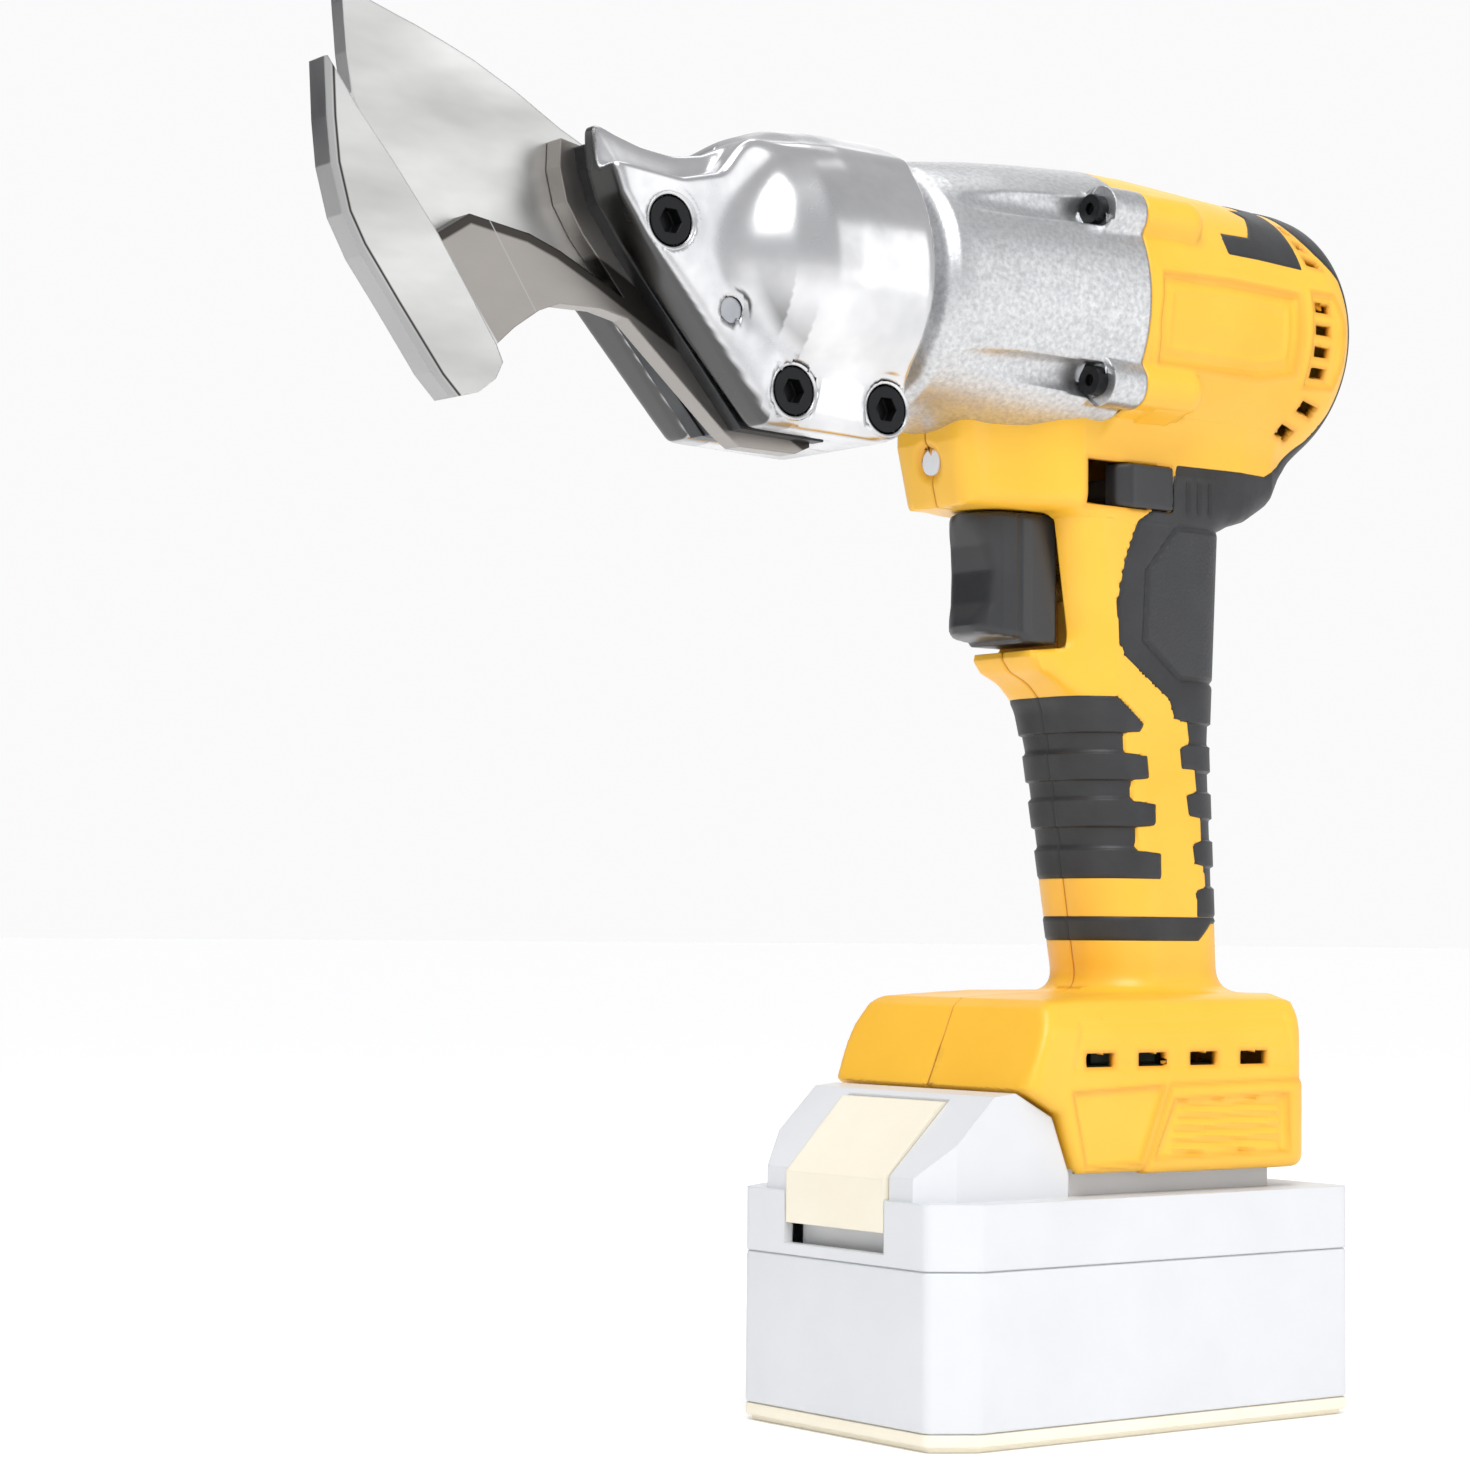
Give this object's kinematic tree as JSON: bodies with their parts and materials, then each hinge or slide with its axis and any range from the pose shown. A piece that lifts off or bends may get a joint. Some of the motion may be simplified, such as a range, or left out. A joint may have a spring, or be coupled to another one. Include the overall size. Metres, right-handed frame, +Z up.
{
  "type": "cordless sheet metal shear",
  "caption": "Pistol-grip cordless metal shear with a cast two-blade head, planetary drive, sprung trigger and slide-off battery pack.",
  "frame": {"origin": "middle of the flat underside of the battery pack, on which the tool stands", "axes": "-X is the way the blades point, +Z is up, +Y is the tool's right-hand side seen from behind"},
  "size_m": [0.2696, 0.076, 0.2984],
  "materials": {
    "yellow_nylon": "satin moulded nylon",
    "black_rubber": "matt overmould, finely grained",
    "zinc_steel": "bright turned steel",
    "bearing_steel": "ground",
    "cast_silver": "sparkling silver paint on a casting",
    "black_steel": "black oxide, lightly oiled",
    "turned_aluminium": "turned",
    "gear_steel": "machined and hardened",
    "lamination": "stacked sheet",
    "copper_wire": "enamelled wire",
    "black_plastic": "semi-gloss moulded",
    "clear_lens": "clear lamp lens",
    "circuit_board": "lacquered board",
    "brass_contact": "plated strip",
    "polished_aluminium": "polished casting",
    "blade_steel": "ground tool steel",
    "dark_steel": "blackened",
    "bronze": "sintered bronze",
    "grey_plastic": "pale satin moulded",
    "cream_plastic": "pale satin moulded",
    "cell_wrap": "shrink sleeve"
  },
  "bodies": {
    "housing": {"left_housing": "yellow_nylon", "right_housing": "yellow_nylon", "top_pad": "black_rubber", "rear_grip": "black_rubber", "front_grip": "black_rubber", "grip_band": "black_rubber", "housing_screws": "zinc_steel", "gear_case": "cast_silver", "gear_case_screws": "black_steel", "case_cover": "turned_aluminium", "ring_gear": "gear_steel", "stator_core": "lamination", "motor_coils": "copper_wire", "motor_front_bearing": "bearing_steel", "motor_rear_bearing": "bearing_steel", "spindle_rear_bearing": "bearing_steel", "spindle_front_bearing": "bearing_steel", "trigger_switch": "black_plastic", "led_lens": "clear_lens", "control_board": "circuit_board", "terminal_block": "black_plastic", "terminal_blades": "brass_contact", "left_cheek": "polished_aluminium", "right_cheek": "polished_aluminium", "fixed_blade": "blade_steel", "left_spacer": "dark_steel", "right_spacer": "dark_steel", "lower_spacer": "dark_steel", "cheek_screws": "black_steel", "pivot_bolt": "black_steel", "lock_nuts": "zinc_steel", "dowel_pin": "zinc_steel", "trigger_spring": "zinc_steel"},
    "moving_blade": {"moving_blade": "blade_steel", "pivot_bush": "bronze", "drive_fork": "dark_steel", "fork_rivets": "zinc_steel"},
    "spindle": {"output_spindle": "zinc_steel", "planet_pins": "zinc_steel"},
    "planet_1": {"planet_gear_1": "gear_steel"},
    "planet_2": {"planet_gear_2": "gear_steel"},
    "planet_3": {"planet_gear_3": "gear_steel"},
    "roller": {"eccentric_roller": "zinc_steel"},
    "rotor": {"rotor_shaft": "zinc_steel", "rotor_core": "lamination", "cooling_fan": "black_plastic", "sun_pinion": "gear_steel"},
    "trigger": {"trigger": "black_plastic", "trigger_plunger": "zinc_steel"},
    "direction_lever": {"direction_lever": "black_plastic"},
    "battery": {"battery_base": "cream_plastic", "battery_lower_case": "grey_plastic", "battery_upper_case": "grey_plastic", "battery_cells": "cell_wrap", "battery_board": "circuit_board", "battery_screws": "zinc_steel", "latch_spring": "zinc_steel"},
    "latch": {"latch_button": "cream_plastic"}
  },
  "joints": [
    {"name": "blade_swing", "type": "hinge", "parent": "housing", "child": "moving_blade", "pos_m": [-0.121, 0, 0.2553], "axis": [0, 1, 0], "range_deg": [-2, 9.5]},
    {"name": "spindle_spin", "type": "hinge", "parent": "housing", "child": "spindle", "pos_m": [-0.05, 0, 0.252], "axis": [1, 0, 0], "continuous": true},
    {"name": "planet_1_spin", "type": "hinge", "parent": "spindle", "child": "planet_1", "pos_m": [-0.022, 0, 0.2385], "axis": [1, 0, 0], "continuous": true},
    {"name": "planet_2_spin", "type": "hinge", "parent": "spindle", "child": "planet_2", "pos_m": [-0.022, 0.01169, 0.25875], "axis": [1, 0, 0], "continuous": true},
    {"name": "planet_3_spin", "type": "hinge", "parent": "spindle", "child": "planet_3", "pos_m": [-0.022, -0.01169, 0.25875], "axis": [1, 0, 0], "continuous": true},
    {"name": "roller_spin", "type": "hinge", "parent": "spindle", "child": "roller", "pos_m": [-0.089, 0.00212, 0.25412], "axis": [1, 0, 0], "continuous": true},
    {"name": "rotor_spin", "type": "hinge", "parent": "housing", "child": "rotor", "pos_m": [0.03, 0, 0.252], "axis": [1, 0, 0], "continuous": true},
    {"name": "trigger_pull", "type": "slide", "parent": "housing", "child": "trigger", "axis": [1, 0, 0], "range_m": [0, 0.006], "stiffness_N_per_m": 800, "springref_m": -0.008, "deforming": ["trigger_spring"]},
    {"name": "direction_push", "type": "slide", "parent": "housing", "child": "direction_lever", "axis": [0, 1, 0], "range_m": [0, 0.005]},
    {"name": "battery_slide", "type": "slide", "parent": "housing", "child": "battery", "axis": [-1, 0, 0], "range_m": [0, 0.072]},
    {"name": "latch_press", "type": "slide", "parent": "battery", "child": "latch", "axis": [0, 0, -1], "range_m": [0, 0.004], "stiffness_N_per_m": 900, "springref_m": -0.006, "deforming": ["latch_spring"]}
  ],
  "couplings": [
    {"joint": "planet_1_spin", "follows": "spindle_spin", "ratio": -2.5},
    {"joint": "planet_2_spin", "follows": "spindle_spin", "ratio": -2.5},
    {"joint": "planet_3_spin", "follows": "spindle_spin", "ratio": -2.5},
    {"joint": "rotor_spin", "follows": "spindle_spin", "ratio": 6}
  ]
}
